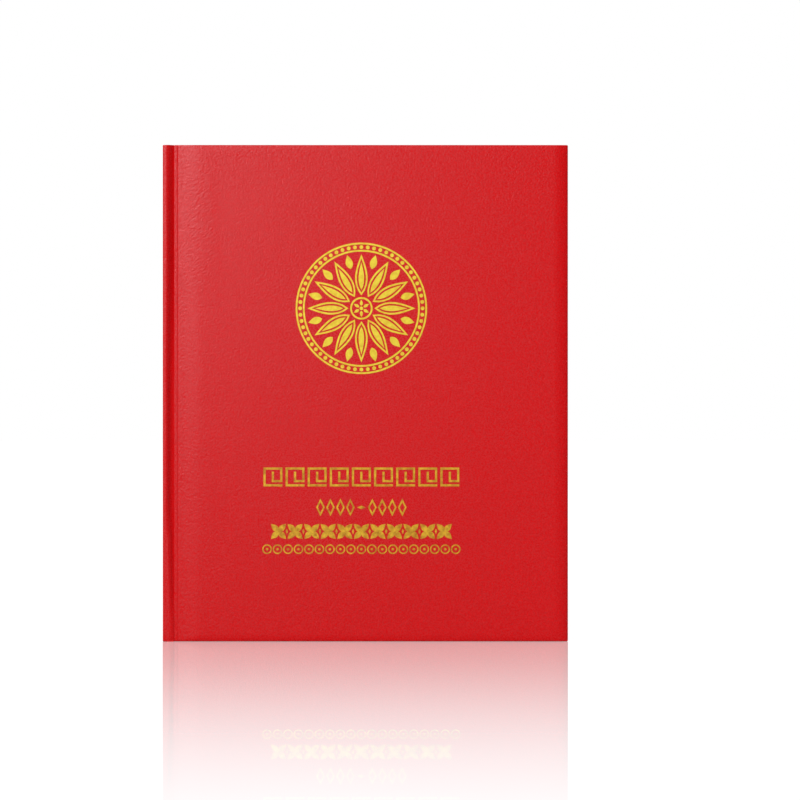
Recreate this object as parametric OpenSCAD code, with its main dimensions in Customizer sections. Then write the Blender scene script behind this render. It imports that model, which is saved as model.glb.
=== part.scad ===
// Stamp album, closed and standing on its lower edge: a padded leatherette case round a block of
// ten stiff leaves with stamp pockets, held by three screw posts between two binding strips.
// X runs from the spine to the fore edge, Y from the front cover to the back one, Z is up.
// The origin is in the middle of the lower edge. Every module draws in "case coordinates":
// u from the back of the spine, v from the outside of the front cover, z from the lower edge.

/* [Case] */
// Height of the covers
cover_h = 310; // [260:1:340]
// Width from the back of the spine to the fore edge
cover_w = 253; // [220:1:300]
// Thickness of the leatherette
skin_t = 0.7; // [0.5:0.1:1.2]
// Thickness of the foam under the leatherette
pad_t = 1.6; // [1:0.1:3]
// Thickness that the foam keeps at its rim
pad_rim_t = 0.2; // [0.1:0.05:0.4]
// Thickness of the cover boards
board_t = 2.5; // [1.5:0.1:4]
// Width over which the padding falls away to the edges
crown_w = 9; // [5:0.5:15]
// Width of the leatherette turned in over the boards
turn_in = 15; // [8:1:25]
// Thickness of the lining paper and of the hinge cloth
lining_t = 0.25; // [0.15:0.05:0.5]
// Leatherette that shows round the lining of a cover
lining_margin = 5; // [2:0.5:7]

/* [Spine and joints] */
// Thickness of the spine board
spine_board_t = 1.8; // [1.5:0.1:3]
// Radius of the spine's long edges
spine_edge_r = 1.2; // [0.5:0.1:1.6]
// Width of the groove between the spine and a cover
joint_gap = 4.5; // [4:0.1:8]
// Radius of the leatherette's bends in the groove
joint_r = 0.5; // [0.3:0.1:0.8]
// Hollow between the spine and the block
hollow = 2; // [1:0.1:4]
// Width of the pressed lip along a cover's hinge edge
lip_w = 2.4; // [2:0.1:5]
// Depth of the lip below the padded face
lip_depth = 0.4; // [0.2:0.05:0.6]
// Radius of the lip's outer edge
lip_r = 1; // [0.4:0.1:1.2]
// Depth and half width of the crease between the lip and the padding
crease = 0.3; // [0.15:0.05:0.4]
// Width over which the face rises from the crease onto the padding
crease_rise = 1.2; // [0.8:0.1:2]
// Width of the hinge cloth on the inside of a cover
cloth_w = 12; // [6:0.5:16]

/* [Binding] */
// Thickness of the binding strips
strip_t = 2; // [1.5:0.1:3]
// Width of the binding strips and the leaf stubs
strip_w = 20; // [16:0.5:30]
// Room between a closed cover and its binding strip
cover_gap = 0.35; // [0.2:0.05:0.6]
// Number of screw posts
post_count = 3; // [2:1:4]
// Distance of the outer posts from the ends of the leaves
post_inset = 40; // [20:1:70]
// Radius of a screw's shank
screw_r = 1.9; // [1.2:0.1:2.5]
// Thickness of a barrel's wall round its screw
barrel_wall = 0.5; // [0.4:0.1:1]
// Clearance round screws, barrels and heads
post_clearance = 0.1; // [0.05:0.01:0.1]
// Length of a screw's shank
screw_len = 9; // [6:0.5:14]
// Width of the rim by which a head is wider than its barrel
head_rim = 2; // [1:0.1:3]
// Thickness of the post and screw heads
head_t = 0.8; // [0.5:0.05:1.2]
// Width of the slot in a screw head
slot_w = 1.1; // [0.8:0.1:1.6]
// Depth of the slot in a screw head
slot_depth = 0.4; // [0.2:0.05:0.45]

/* [Leaves] */
// Thickness of a leaf's card
card_t = 0.8; // [0.5:0.1:1]
// Free space on each side of an interleaf
page_gap = 0.35; // [0.3:0.05:0.8]
// Width of bare linen between a stub and its leaf
fold_w = 4.2; // [3.6:0.1:8]
// Thickness of the linen hinges
linen_t = 0.2; // [0.1:0.05:0.3]
// Width of linen glued to a leaf
linen_grip = 12; // [6:0.5:16]
// Covers' overhang past the leaves at head, tail and fore edge
square = 4.5; // [3:0.5:8]
// Thickness of an interleaf
interleaf_t = 0.15; // [0.1:0.05:0.25]
// Distance of an interleaf's edges inside its leaf's
interleaf_inset = 2; // [1:0.5:6]
// Width of the interleaf's strip that is glued to its leaf
interleaf_grip = 8; // [4:0.5:12]

/* [Pockets] */
// Thickness of a pocket's films
film_t = 0.12; // [0.08:0.02:0.16]
// Width of the slit that a stamp slides into
slit_t = 0.14; // [0.1:0.02:0.18]
// Height of the weld along a pocket's lower edge
weld_h = 1.5; // [1:0.1:3]
// Space from the linen to the first column of pockets, and to the fore edge
page_margin = 14; // [10:1:24]
// Space above the upper row of pockets
head_margin = 32; // [24:1:40]
// Space below the lower row of pockets
foot_margin = 18; // [12:1:24]
// Space between the pockets of a row
pocket_gap = 6; // [3:0.5:10]

/* [Medallion] */
// Thickness of the stamped foil
foil_t = 0.1; // [0.05:0.01:0.15]
// Distance of the foil from the middle of the cover, towards the spine
foil_shift = 2.5; // [0:0.5:5]
// Radius of the medallion
medallion_r = 41; // [38:0.5:48]
// Height of the medallion's centre
medallion_z = 208; // [180:0.5:215]
// Width of the medallion's border
border_w = 5.6; // [5:0.1:6.5]
// Number of pearls in the border
pearls = 60; // [40:1:60]
// Room on each side of a pearl
pearl_gap = 0.5; // [0.3:0.1:0.8]
// Width of the rings and outlines
line_w = 1.1; // [0.8:0.1:1.4]
// Number of petals
petals = 12; // [8:1:14]
// Length of the buds between the petals' tips
bud_length = 9; // [6:0.5:10]
// Radius of the rosette's eye
eye_r = 7; // [5:0.5:9]

/* [Bands below the medallion] */
// Height of the middle of the band of frets
fret_z = 102.8; // [95:0.5:120]
// Size of a fret
fret_size = 11.8; // [9:0.1:12]
// Space between frets
fret_gap = 2; // [1.5:0.1:3]
// Width of a fret's stroke
fret_line = 1.35; // [0.8:0.05:1.5]
// Space between the bands of frets and lozenges
lozenge_space = 7.6; // [4:0.1:10]
// Width of a lozenge
lozenge_w = 5.4; // [4:0.1:7]
// Height of a lozenge
lozenge_h = 11; // [8:0.1:12]
// Space between the bands of lozenges and flowers
flower_space = 4.8; // [3:0.1:7]
// Size of a flower
flower_size = 9.4; // [7:0.1:10]
// Space between the bands of flowers and rings
chain_space = 3.4; // [2:0.1:6]
// Size of a ring of the chain
chain_size = 6; // [4:0.1:6.5]

/* [Hidden] */
LEAVES = 10;

// Layers of a cover, from the outside inwards
board_v = skin_t + pad_t;
infill_v = board_v + board_t;
inside_v = infill_v + skin_t;
lined_v = inside_v + lining_t;
crown_depth = skin_t + pad_t - pad_rim_t;
// Layers of the block
strip_v = lined_v + cover_gap;
stack_v = strip_v + strip_t;
pocket_t = 2 * film_t + slit_t;
leaf_pitch = card_t + 2 * pocket_t + interleaf_t + 2 * page_gap;
album_t = 2 * stack_v + LEAVES * leaf_pitch;
// Places along u
spine_edge = skin_t + spine_board_t;
joint_u = spine_edge + skin_t;
cover_u = spine_edge + joint_gap;
pad_u = cover_u + lip_w;
panel_u = pad_u + crease_rise;
block_u = joint_u + hollow + lining_t;
strip_end = block_u + strip_w;
leaf_u = strip_end + fold_w;
leaf_end = cover_w - square;
cloth_end = cover_u + cloth_w;
post_u = (block_u + strip_end) / 2;
// Heights
leaf_z = square;
leaf_h = cover_h - 2 * square;
// Posts
post_r = screw_r + post_clearance + barrel_wall;
head_r = post_r + head_rim;
// Bands of ornament, and how many motifs are in each
lozenge_z = fret_z - fret_size / 2 - lozenge_space - lozenge_h / 2;
flower_z = lozenge_z - lozenge_h / 2 - flower_space - flower_size / 2;
chain_z = flower_z - flower_size / 2 - chain_space - chain_size / 2;
FRETS = 9;
LOZENGES = 8;
FLOWERS = 11;
CHAIN_RINGS = 19;
// Points along the curves
CROWN_STEPS = 6;
CORNER_STEPS = 3;
LEAF_STEPS = 8;
FINE_CIRCLE = 96;
CIRCLE = 48;
DOT = 24;
// How far a leaf shape's belly lies below its middle, and the share of its length up to there
LEAF_SKEW = 0.8;
LEAF_BELLY = pow(0.5, 1 / LEAF_SKEW);
// How far a cut runs past a face: clear of it, or only just
PAST = 1;
EPS = 0.01;

function leaf_label(i) = i < 10 ? str("0", i) : str(i);
// The middle of leaf i's card
function leaf_v(i) = stack_v + leaf_pitch * (i - 0.5);
// A quarter ellipse from the padded face (0, 0) down to the edge (width, depth)
function fall(width, depth) =
    [for (i = [0:CROWN_STEPS]) let (a = 90 * i / CROWN_STEPS) [width * sin(a), depth * (1 - cos(a))]];
function reversed(list) = [for (i = [len(list) - 1:-1:0]) list[i]];
// A rounded corner: an arc of radius r round a centre, from one angle to another
function corner(centre, r, from, to) =
    [for (i = [0:CORNER_STEPS]) let (a = from + (to - from) * i / CORNER_STEPS)
        centre + r * [cos(a), sin(a)]];

// ---- placing ----
module in_part() {
    translate([-cover_w / 2, -album_t / 2, 0]) children();
}
module mirrored_to_back() {
    translate([0, album_t, 0]) mirror([0, 1, 0]) children();
}
module block(from, to) {
    translate(from) cube(to - from);
}
// An outline in u and v, drawn up the height of the case
module upright(z0, z1, outline) {
    translate([0, 0, z0]) linear_extrude(z1 - z0) polygon(outline);
}
// An outline in v and z, drawn from u0 to u1
module across(u0, u1, outline) {
    translate([u0, 0, 0]) rotate([90, 0, 90]) linear_extrude(u1 - u0) polygon(outline);
}
// A round bar along v
module bar(u, z, r, v0, v1) {
    translate([u, v0, z]) rotate([-90, 0, 0]) cylinder(r = r, h = v1 - v0, $fn = CIRCLE);
}
module at_posts() {
    for (i = [0:post_count - 1])
        translate([post_u, 0, leaf_z + post_inset + i * (leaf_h - 2 * post_inset) / (post_count - 1)])
            children();
}

// ---- covers ----
// The padded form at an inset from the outside of a cover, down to v1. Its face falls away to
// the head, the tail and the fore edge, and steps down to a lip along the hinge edge.
module padded_form(inset, v1) {
    w = crown_w - inset;
    depth = crown_depth - inset;
    hinge = cover_u + inset;
    edge = cover_w - inset;
    top = cover_h - inset;
    fore = [for (p = fall(w, depth)) [edge - w + p[0], inset + p[1]]];
    head = [for (p = fall(w, depth)) [inset + p[1], top - w + p[0]]];
    tail = [for (p = fall(w, depth)) [inset + p[1], inset + w - p[0]]];
    intersection() {
        upright(inset, top, concat([[hinge, v1]], hinge_edge(inset), fore, [[edge, v1]]));
        across(hinge, edge, concat([[v1, inset]], reversed(tail), head, [[v1, top]]));
    }
}
// The lip from its outer edge to the crease, and the step up onto the padding
function hinge_edge(inset) = let (v = lip_depth + inset) concat(
    inset == 0 ? corner([cover_u + lip_r, v + lip_r], lip_r, 180, 270) : [[cover_u + inset, v]],
    [[pad_u - 2 * crease, v], [pad_u - crease, v + crease], [pad_u, v], [panel_u, inset]]);
module cover_foam_space() {
    padded_form(skin_t, board_v);
}
module cover_board_space() {
    block([cover_u + skin_t, board_v, skin_t], [cover_w - skin_t, infill_v, cover_h - skin_t]);
}
module cover_infill_space(past = 0) {
    block([cover_u + skin_t, infill_v - past, turn_in],
          [cover_w - turn_in, inside_v + past, cover_h - turn_in]);
}
module cover_board() {
    color("tan") cover_board_space();
}
module cover_foam_pad() {
    color("lightyellow") cover_foam_space();
}
module cover_infill_card() {
    color("burlywood") cover_infill_space();
}
module cover_leatherette() {
    color("crimson") difference() {
        padded_form(0, inside_v);
        cover_foam_space();
        cover_board_space();
        cover_infill_space(EPS);
    }
}
module cover_lining_paper() {
    color("firebrick")
        block([cloth_end, inside_v, lining_margin],
              [cover_w - lining_margin, lined_v, cover_h - lining_margin]);
}

// ---- spine and joints ----
module spine_board() {
    color("tan")
        block([skin_t, skin_t, skin_t], [spine_edge, album_t - skin_t, cover_h - skin_t]);
}
module spine_leatherette() {
    outline = concat(
        [[spine_edge, 0], [spine_edge, album_t]],
        corner([spine_edge_r, album_t - spine_edge_r], spine_edge_r, 90, 180),
        corner([spine_edge_r, spine_edge_r], spine_edge_r, 180, 270));
    color("crimson") {
        difference() {
            upright(0, cover_h, outline);
            block([skin_t, skin_t, skin_t], [spine_edge + EPS, album_t - skin_t, cover_h - skin_t]);
        }
        for (z = [skin_t, cover_h - turn_in])
            block([spine_edge, inside_v, z], [joint_u, album_t - inside_v, z + turn_in - skin_t]);
    }
}
module spine_lining() {
    color("wheat")
        block([spine_edge, inside_v, turn_in],
              [spine_edge + lining_t, album_t - inside_v, cover_h - turn_in]);
}
// The groove: down along the spine board's edge, then over the hinge cloth to the cover. Its
// bends leave some of the leatherette's thickness flat.
module joint_leatherette() {
    floor_v = infill_v;
    widest_r = 0.8 * skin_t;
    r = min(joint_r, widest_r);
    color("crimson")
        upright(0, cover_h, concat(
            [[spine_edge, 0]],
            corner([joint_u - r, r], r, 270, 360),
            reversed(corner([joint_u + r, floor_v - r], r, 90, 180)),
            [[cover_u, floor_v], [cover_u, inside_v], [spine_edge, inside_v]]));
}
// Cloth from the inside of a cover round onto the back of the block
module hinge_cloth() {
    turn_u = block_u - lining_t;
    color("darkred")
        upright(leaf_z, leaf_z + leaf_h, [
            [turn_u, inside_v], [cloth_end, inside_v], [cloth_end, lined_v],
            [block_u, lined_v], [block_u, strip_v], [turn_u, strip_v]]);
}
module block_spine_cloth() {
    color("darkred")
        block([block_u - lining_t, strip_v, leaf_z], [block_u, album_t - strip_v, leaf_z + leaf_h]);
}

// ---- binding ----
module binding_strip() {
    color("firebrick") difference() {
        block([block_u, strip_v, leaf_z], [strip_end, stack_v, leaf_z + leaf_h]);
        at_posts() {
            bar(0, 0, post_r + post_clearance, strip_v - PAST, stack_v + PAST);
            bar(0, 0, head_r + post_clearance, strip_v - PAST, strip_v + head_t);
        }
    }
}
// A stiff strip with the post holes, from v0 to v1 in the block
module punched_strip(v0, v1, u1 = strip_end) {
    difference() {
        block([block_u, v0, leaf_z], [u1, v1, leaf_z + leaf_h]);
        at_posts() bar(0, 0, post_r + post_clearance, v0 - PAST, v1 + PAST);
    }
}
module leaf_stubs() {
    color("ivory")
        for (i = [1:LEAVES])
            punched_strip(leaf_v(i) - card_t / 2, leaf_v(i) + card_t / 2);
}
// Fillers build the stubs up to the thickness of the leaves with their pockets
module filler_strips() {
    color("gainsboro")
        for (i = [0:LEAVES])
            punched_strip(
                i == 0 ? stack_v : leaf_v(i) + card_t / 2,
                i == LEAVES ? album_t - stack_v : leaf_v(i + 1) - card_t / 2 - linen_t);
}
module leaf_hinge_linens() {
    color("seashell")
        for (i = [1:LEAVES])
            punched_strip(leaf_v(i) - card_t / 2 - linen_t, leaf_v(i) - card_t / 2, leaf_u + linen_grip);
}
module post_barrels() {
    face_v = strip_v + head_t;
    bore_end = face_v + screw_len + PAST;
    color("gold") at_posts() difference() {
        union() {
            bar(0, 0, post_r, face_v + post_clearance, album_t - face_v);
            bar(0, 0, head_r, album_t - face_v, album_t - strip_v);
        }
        bar(0, 0, screw_r + post_clearance, face_v, bore_end);
    }
}
module post_screws() {
    color("gold") at_posts() difference() {
        union() {
            bar(0, 0, head_r, strip_v, strip_v + head_t);
            bar(0, 0, screw_r, strip_v + head_t, strip_v + head_t + screw_len);
        }
        block([-slot_w / 2, strip_v - PAST, -head_r - PAST],
              [slot_w / 2, strip_v + slot_depth, head_r + PAST]);
    }
}

// ---- leaves ----
// Rows of pockets from the top down: [height, width, how many]
LAYOUTS = [
    [[50, 76, 2], [50, 48, 3], [50, 48, 3], [50, 76, 2]],
    [[38, 34, 4], [38, 50, 3], [38, 76, 2], [38, 50, 3], [38, 34, 4]],
    [[96, 124, 1], [50, 48, 3], [50, 48, 3]]];
function layout_of(i, face) = LAYOUTS[(2 * i + face) % len(LAYOUTS)];
function rows_h(layout, n) = n == 0 ? 0 : layout[n - 1][0] + rows_h(layout, n - 1);

module leaf_card(i) {
    color("ivory")
        block([leaf_u, leaf_v(i) - card_t / 2, leaf_z],
              [leaf_end, leaf_v(i) + card_t / 2, leaf_z + leaf_h]);
}
// One pocket lying on v = 0 and standing out towards -v: two films welded along the lower edge
module pocket(w, h) {
    across(0, w, [
        [0, 0], [0, h], [-film_t, h], [-film_t, weld_h], [-film_t - slit_t, weld_h],
        [-film_t - slit_t, h], [-pocket_t, h], [-pocket_t, 0]]);
}
module page_pockets(layout) {
    page_u = leaf_u + linen_grip + page_margin;
    page_w = leaf_end - page_margin - page_u;
    rows = len(layout);
    row_gap = (leaf_h - head_margin - foot_margin - rows_h(layout, rows)) / max(rows - 1, 1);
    for (n = [0:rows - 1]) {
        row = layout[n];
        first_u = page_u + (page_w - row[2] * row[1] - (row[2] - 1) * pocket_gap) / 2;
        low_z = leaf_z + leaf_h - head_margin - rows_h(layout, n + 1) - n * row_gap;
        for (k = [0:row[2] - 1])
            translate([first_u + k * (row[1] + pocket_gap), 0, low_z]) pocket(row[1], row[0]);
    }
}
module leaf_pockets(i) {
    color("black") {
        translate([0, leaf_v(i) - card_t / 2, 0]) page_pockets(layout_of(i, 0));
        translate([0, leaf_v(i) + card_t / 2, 0]) mirror([0, 1, 0]) page_pockets(layout_of(i, 1));
    }
}
// A sheet glued along the back of its leaf's card, which then runs midway to the next leaf
module leaf_interleaf(i) {
    glued_v = leaf_v(i) + card_t / 2;
    free_v = leaf_v(i) + leaf_pitch / 2 - interleaf_t / 2;
    from = leaf_u + interleaf_inset;
    bend = from + interleaf_grip;
    free_u = bend + interleaf_grip / 2;
    to = leaf_end - interleaf_inset;
    color("whitesmoke", 0.6)
        upright(leaf_z + interleaf_inset, leaf_z + leaf_h - interleaf_inset, [
            [from, glued_v], [bend, glued_v], [free_u, free_v], [to, free_v],
            [to, free_v + interleaf_t], [free_u, free_v + interleaf_t],
            [bend, glued_v + interleaf_t], [from, glued_v + interleaf_t]]);
}

// ---- foil on the front cover ----
// Flat shapes, drawn round a point of the cover's centre line and stamped onto its face
module stamped(z) {
    color("gold")
        translate([cover_w / 2 - foil_shift, 0, z]) rotate([90, 0, 0]) linear_extrude(foil_t) children();
}
module ring(r, w) {
    difference() {
        circle(r = r, $fn = FINE_CIRCLE);
        circle(r = r - w, $fn = FINE_CIRCLE);
    }
}
module round_about(n, r, turn = 0) {
    for (i = [0:n - 1])
        rotate(turn + 360 * i / n) translate([0, r]) children();
}
// Copies side by side along a band, a pitch apart
module in_a_row(n, pitch) {
    for (i = [0:n - 1])
        translate([(i - (n - 1) / 2) * pitch, 0]) children();
}
// A pointed leaf, upright, with its foot at the origin
module leaf_shape(length, width) {
    side = [for (k = [1:LEAF_STEPS - 1]) let (t = k / LEAF_STEPS)
        [width / 2 * sin(180 * pow(t, LEAF_SKEW)), length * t]];
    polygon(concat([[0, 0]], side, [[0, length]], reversed([for (p = side) [-p[0], p[1]]])));
}
// An outlined leaf with a solid one inside it
module petal(length, width) {
    foot = 1.5 * line_w;
    inner_foot = 2 * foot;
    difference() {
        leaf_shape(length, width);
        translate([0, foot]) leaf_shape(length - 4 * line_w, width - 2 * line_w);
    }
    translate([0, inner_foot]) leaf_shape(length - 5 * foot, width - 4 * line_w);
}
module lozenge(w, h) {
    polygon([[0, -h / 2], [w / 2, 0], [0, h / 2], [-w / 2, 0]]);
}
// A rosette of petals, with buds between their tips, inside a border of pearls
module medallion_foil() {
    border_in = medallion_r - border_w;
    row_w = border_w - 2 * line_w;
    petal_in = eye_r + line_w;
    petal_length = border_in - petal_in - 1.5 * line_w;
    petal_w = 2 * (petal_in + LEAF_BELLY * petal_length) * tan(180 / petals) - 2 * line_w;
    stamen_in = 1.4 * line_w;
    stamen_length = eye_r - 1.5 * line_w - stamen_in;
    stamped(medallion_z) {
        ring(medallion_r, line_w);
        ring(border_in + line_w, line_w);
        round_about(pearls, border_in + line_w + row_w / 2)
            circle(r = row_w / 2 - pearl_gap, $fn = DOT);
        round_about(petals, petal_in) petal(petal_length, petal_w);
        round_about(petals, border_in - line_w - bud_length, 180 / petals)
            leaf_shape(bud_length, bud_length / 2);
        ring(eye_r, line_w);
        round_about(petals / 2, stamen_in) leaf_shape(stamen_length, stamen_length / 2);
        circle(r = line_w, $fn = DOT);
    }
}
// A square key fret: one stroke that turns in on itself
module fret() {
    step = (fret_size - fret_line) / 4;
    thick = [fret_line, fret_line];
    path = [[2, -2], [-2, -2], [-2, 2], [2, 2], [2, -1], [0, -1], [0, 1]];
    for (i = [0:len(path) - 2]) {
        low = [min(path[i][0], path[i + 1][0]), min(path[i][1], path[i + 1][1])];
        high = [max(path[i][0], path[i + 1][0]), max(path[i][1], path[i + 1][1])];
        translate(low * step - thick / 2) square((high - low) * step + thick);
    }
}
module lozenge_outline() {
    shrink = 2 * line_w / lozenge_w;
    difference() {
        lozenge(lozenge_w, lozenge_h);
        scale(1 - shrink) lozenge(lozenge_w, lozenge_h);
    }
}
// Four petals along the diagonals of a square
module flower() {
    petal_length = flower_size / 2 / cos(45);
    petal_w = 0.55 * petal_length;
    for (a = [45:90:315])
        rotate(a) leaf_shape(petal_length, petal_w);
}
// Four centred bands of ornament below the medallion
module band_foil() {
    lozenge_pitch = lozenge_w + line_w * 0.75;
    middle_gap = 1.2 * lozenge_pitch;
    flower_gap = 0.1 * flower_size;
    link_w = 0.13 * chain_size;
    link_gap = 0.09 * chain_size;
    stamped(fret_z) in_a_row(FRETS, fret_size + fret_gap) fret();
    stamped(lozenge_z) {
        for (side = [-1, 1])
            translate([side * (LOZENGES / 2 * lozenge_pitch + middle_gap) / 2, 0])
                in_a_row(LOZENGES / 2, lozenge_pitch) lozenge_outline();
        lozenge(lozenge_w, 2 * line_w);
    }
    stamped(flower_z) {
        in_a_row(FLOWERS, flower_size + flower_gap) flower();
        in_a_row(FLOWERS - 1, flower_size + flower_gap) lozenge(1.6 * flower_gap, 3.6 * flower_gap);
    }
    stamped(chain_z)
        in_a_row(CHAIN_RINGS, chain_size + link_gap) {
            ring(chain_size / 2, link_w);
            circle(r = link_w, $fn = DOT);
        }
}

// ---- what is drawn ----
in_part() spine_board();
in_part() spine_leatherette();
in_part() spine_lining();
in_part() joint_leatherette();  // front_joint_leatherette
in_part() mirrored_to_back() joint_leatherette();  // back_joint_leatherette
in_part() block_spine_cloth();
in_part() hinge_cloth();  // front_hinge_cloth
in_part() mirrored_to_back() hinge_cloth();  // back_hinge_cloth
in_part() binding_strip();  // front_binding_strip
in_part() mirrored_to_back() binding_strip();  // back_binding_strip
in_part() leaf_stubs();
in_part() filler_strips();
in_part() leaf_hinge_linens();
in_part() post_barrels();
in_part() post_screws();
in_part() cover_board();  // front_board
in_part() cover_foam_pad();  // front_foam_pad
in_part() cover_leatherette();  // front_leatherette
in_part() cover_infill_card();  // front_infill_card
in_part() cover_lining_paper();  // front_lining_paper
in_part() mirrored_to_back() cover_board();  // back_board
in_part() mirrored_to_back() cover_foam_pad();  // back_foam_pad
in_part() mirrored_to_back() cover_leatherette();  // back_leatherette
in_part() mirrored_to_back() cover_infill_card();  // back_infill_card
in_part() mirrored_to_back() cover_lining_paper();  // back_lining_paper
in_part() medallion_foil();
in_part() band_foil();  // title_band_foil
for (i = [1:LEAVES]) {
    in_part() leaf_card(i);
    in_part() leaf_pockets(i);
    in_part() leaf_interleaf(i);
}
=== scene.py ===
"""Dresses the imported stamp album: a padded leatherette case round a block of ten pocket leaves.

Lengths are in millimetres in the album's own frame, +Z up and the front cover towards -Y, and
turn into metres when a mesh is made. Depths are measured from the outside of a cover inwards.
"""

import logging
import math
from collections.abc import Callable, Iterable, Sequence
from dataclasses import dataclass
from enum import Enum
from typing import Any

import bmesh
import bpy
import numpy as np
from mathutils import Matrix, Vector, geometry, noise


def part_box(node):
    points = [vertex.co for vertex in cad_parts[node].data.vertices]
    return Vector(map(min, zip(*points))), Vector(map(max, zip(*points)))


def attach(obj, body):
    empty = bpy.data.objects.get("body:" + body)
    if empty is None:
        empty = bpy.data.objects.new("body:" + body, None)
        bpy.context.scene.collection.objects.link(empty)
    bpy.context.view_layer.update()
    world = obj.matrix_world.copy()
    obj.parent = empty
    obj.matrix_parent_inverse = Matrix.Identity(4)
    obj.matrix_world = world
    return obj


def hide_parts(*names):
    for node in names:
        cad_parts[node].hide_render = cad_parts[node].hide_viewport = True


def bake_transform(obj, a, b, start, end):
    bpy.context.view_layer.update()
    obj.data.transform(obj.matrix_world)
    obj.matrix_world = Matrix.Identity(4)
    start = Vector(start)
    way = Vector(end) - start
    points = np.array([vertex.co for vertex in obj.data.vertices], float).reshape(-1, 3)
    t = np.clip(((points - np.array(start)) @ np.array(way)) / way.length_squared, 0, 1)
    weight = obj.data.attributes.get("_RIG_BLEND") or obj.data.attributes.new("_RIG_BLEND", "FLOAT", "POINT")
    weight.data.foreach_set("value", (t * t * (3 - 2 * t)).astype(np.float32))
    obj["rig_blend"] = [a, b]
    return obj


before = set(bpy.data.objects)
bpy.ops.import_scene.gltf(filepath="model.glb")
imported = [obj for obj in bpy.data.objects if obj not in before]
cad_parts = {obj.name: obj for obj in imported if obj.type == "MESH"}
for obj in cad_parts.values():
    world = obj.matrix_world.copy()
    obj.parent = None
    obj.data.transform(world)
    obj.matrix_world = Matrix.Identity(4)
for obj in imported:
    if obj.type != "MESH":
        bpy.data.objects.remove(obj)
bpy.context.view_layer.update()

MM = 0.001
LEAVES = 10
# Points closer than this, in metres, are one point
WELD = 1e-6
# Sockets of the Mix node when it mixes colours
MIX_A, MIX_B, MIX_OUT = 6, 7, 2

Piece = bpy.types.Object
Node = bpy.types.Node
Socket = bpy.types.NodeSocket
Tree = bpy.types.NodeTree
Point = tuple[float, float, float]
Points = Sequence[Sequence[float]] | np.ndarray
Faces = list[tuple[int, ...]]

log = logging.getLogger("album")


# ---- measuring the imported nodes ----

def span(node: str) -> tuple[Vector, Vector]:
    """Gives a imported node's lowest and highest corners."""
    low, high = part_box(node)
    return low / MM, high / MM


def solids(node: str) -> list[tuple[Vector, Vector]]:
    """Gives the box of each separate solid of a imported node.

    Args:
        node: The node's name.

    Returns:
        The lowest and highest corner of each solid.
    """
    mesh = bmesh.new()
    mesh.from_mesh(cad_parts[node].data)
    bmesh.ops.remove_doubles(mesh, verts=mesh.verts, dist=WELD)
    left, boxes = set(mesh.verts), []
    while left:
        front, group = [left.pop()], []
        while front:
            point = front.pop()
            group.append(point.co / MM)
            near = {edge.other_vert(point) for edge in point.link_edges} & left
            left -= near
            front += near
        boxes.append((Vector(map(min, zip(*group))), Vector(map(max, zip(*group)))))
    mesh.free()
    return sorted(boxes, key=lambda box: box[0][:])


# ---- shapes of curves ----

def smooth_step(start: float, end: float, x: float) -> float:
    """Rises smoothly from 0 at start to 1 at end."""
    share = min(1.0, max(0.0, (x - start) / (end - start)))
    return share * share * (3 - 2 * share)


def elliptic_fall(inwards: float, width: float, depth: float, power: float = 2.0) -> float:
    """Falls from 0, a width inside an edge, to a depth at the edge; a higher power falls later."""
    share = min(1.0, max(0.0, 1 - inwards / width))
    return depth * (1 - (1 - share ** power) ** (1 / power))


def quarter_turn(steps: int) -> list[float]:
    """Gives even angles from 0 to a quarter turn."""
    return [math.pi / 2 * k / steps for k in range(steps + 1)]


def even_stops(start: float, end: float, pitch: float) -> list[float]:
    """Gives places from start to end, about a pitch apart."""
    count = max(1, round(abs(end - start) / pitch))
    return [start + (end - start) * k / count for k in range(count + 1)]


def joined_stops(*runs: Iterable[float]) -> list[float]:
    """Joins runs of places into one rising list without near repeats.

    Args:
        *runs: The runs.

    Returns:
        The joined list.
    """
    places: list[float] = []
    for place in sorted(x for run in runs for x in run):
        if not places or place - places[-1] > 0.02:
            places.append(place)
    return places


# ---- meshes ----

def mesh_piece(name: str, points: Points, faces: Faces,
               outwards: tuple[int, Vector] | None = None) -> Piece:
    """Makes a mesh piece at the origin, smooth, with its faces pointing outwards.

    Args:
        name: The piece's name.
        points: Its points.
        faces: The points of each face.
        outwards: For a sheet, a face's number and a direction that it faces; the sheet's cut
            rim is then marked sharp, so that it doesn't shade the face. Without it the mesh is
            closed, and Blender works out its outside.

    Returns:
        The piece.
    """
    mesh = bpy.data.meshes.new(name)
    mesh.from_pydata((np.array(points, float) * MM).tolist(), [], [list(f) for f in faces])
    mesh.update()
    if outwards and mesh.polygons[outwards[0]].normal.dot(outwards[1]) < 0:
        mesh.flip_normals()
    shape = bmesh.new()
    shape.from_mesh(mesh)
    if outwards:
        for edge in shape.edges:
            edge.smooth = not edge.is_boundary
    else:
        bmesh.ops.recalc_face_normals(shape, faces=shape.faces)
    for face in shape.faces:
        face.smooth = True
    shape.to_mesh(mesh)
    shape.free()
    return placed(name, mesh)


def placed(name: str, data: bpy.types.ID) -> bpy.types.Object:
    """Puts a mesh, a lamp or a camera into the scene.

    Args:
        name: The object's name.
        data: What it shows.

    Returns:
        The object.
    """
    made = bpy.data.objects.new(name, data)
    bpy.context.scene.collection.objects.link(made)
    return made


def grid_faces(rows: int, columns: int, first: int = 0) -> Faces:
    """Gives the quads of a grid of points that are numbered row by row."""
    corners = (first + r * columns + c for r in range(rows - 1) for c in range(columns - 1))
    return [(k, k + 1, k + columns + 1, k + columns) for k in corners]


def grid_rim(rows: int, columns: int) -> list[int]:
    """Gives the points round a grid: its first row, last column, last row and first column."""
    last = (rows - 1) * columns
    return [*range(columns), *range(2 * columns - 1, last + columns, columns),
            *range(last + columns - 2, last - 1, -1), *range(last - columns, 0, -columns)]


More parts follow.
